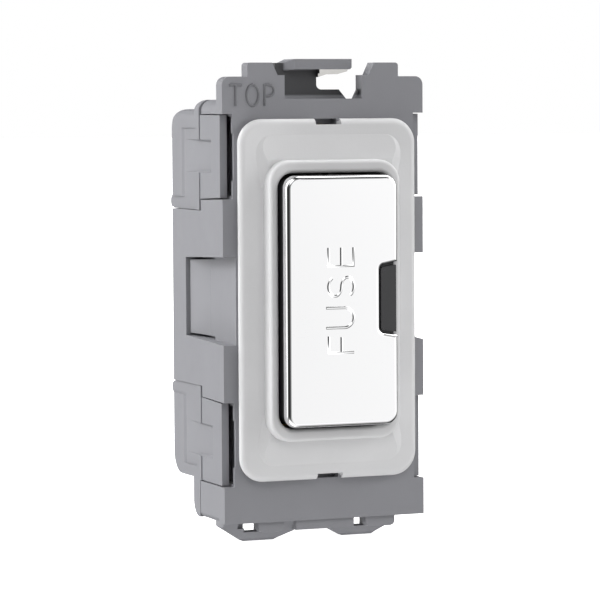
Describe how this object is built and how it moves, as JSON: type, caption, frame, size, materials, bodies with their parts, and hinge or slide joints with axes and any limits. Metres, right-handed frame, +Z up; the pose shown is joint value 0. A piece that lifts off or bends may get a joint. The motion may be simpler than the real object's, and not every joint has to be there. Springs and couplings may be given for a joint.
{
  "type": "fuse holder module",
  "caption": "Grey moulded grid module with a light bezel and a chromed pull-out fuse carrier, a spring latch above, hooked feet below and clamp terminals inside.",
  "frame": {"origin": "centre of the plate's front face, on the middle line of the carrier", "axes": "+X to the right seen from the front, +Y into the depth, +Z up"},
  "size_m": [0.0244, 0.0229, 0.0543],
  "materials": {
    "frame_grey": "satin moulded",
    "bezel_grey": "fine satin moulded",
    "carrier_dark": "satin moulded",
    "cover_chrome": "polished plated",
    "spring_steel": "bright rolled",
    "contact_brass": "bright stamped",
    "terminal_brass": "machined",
    "fuse_ceramic": "fired, unglazed",
    "cap_plated": "bright plated",
    "element_wire": "drawn wire",
    "screw_steel": "zinc plated"
  },
  "bodies": {
    "module": {"front_frame": "frame_grey", "latch_spring": "spring_steel", "bezel": "bezel_grey", "rear_housing": "frame_grey", "supply_contact": "contact_brass", "load_contact": "contact_brass", "supply_terminal": "terminal_brass", "load_terminal": "terminal_brass"},
    "carrier": {"fuse_carrier": "carrier_dark", "carrier_cover": "cover_chrome", "fuse_barrel": "fuse_ceramic", "fuse_cap_upper": "cap_plated", "fuse_cap_lower": "cap_plated", "fuse_element": "element_wire"},
    "upper_screw": {"supply_screw": "screw_steel"},
    "lower_screw": {"load_screw": "screw_steel"}
  },
  "joints": [
    {"name": "carrier_slide", "type": "slide", "parent": "module", "child": "carrier", "axis": [0, -1, 0], "range_m": [0, 0.0082]},
    {"name": "upper_screw_slide", "type": "slide", "parent": "module", "child": "upper_screw", "axis": [0, -1, 0], "range_m": [0, 0.002]},
    {"name": "lower_screw_slide", "type": "slide", "parent": "module", "child": "lower_screw", "axis": [0, -1, 0], "range_m": [0, 0.002]}
  ]
}
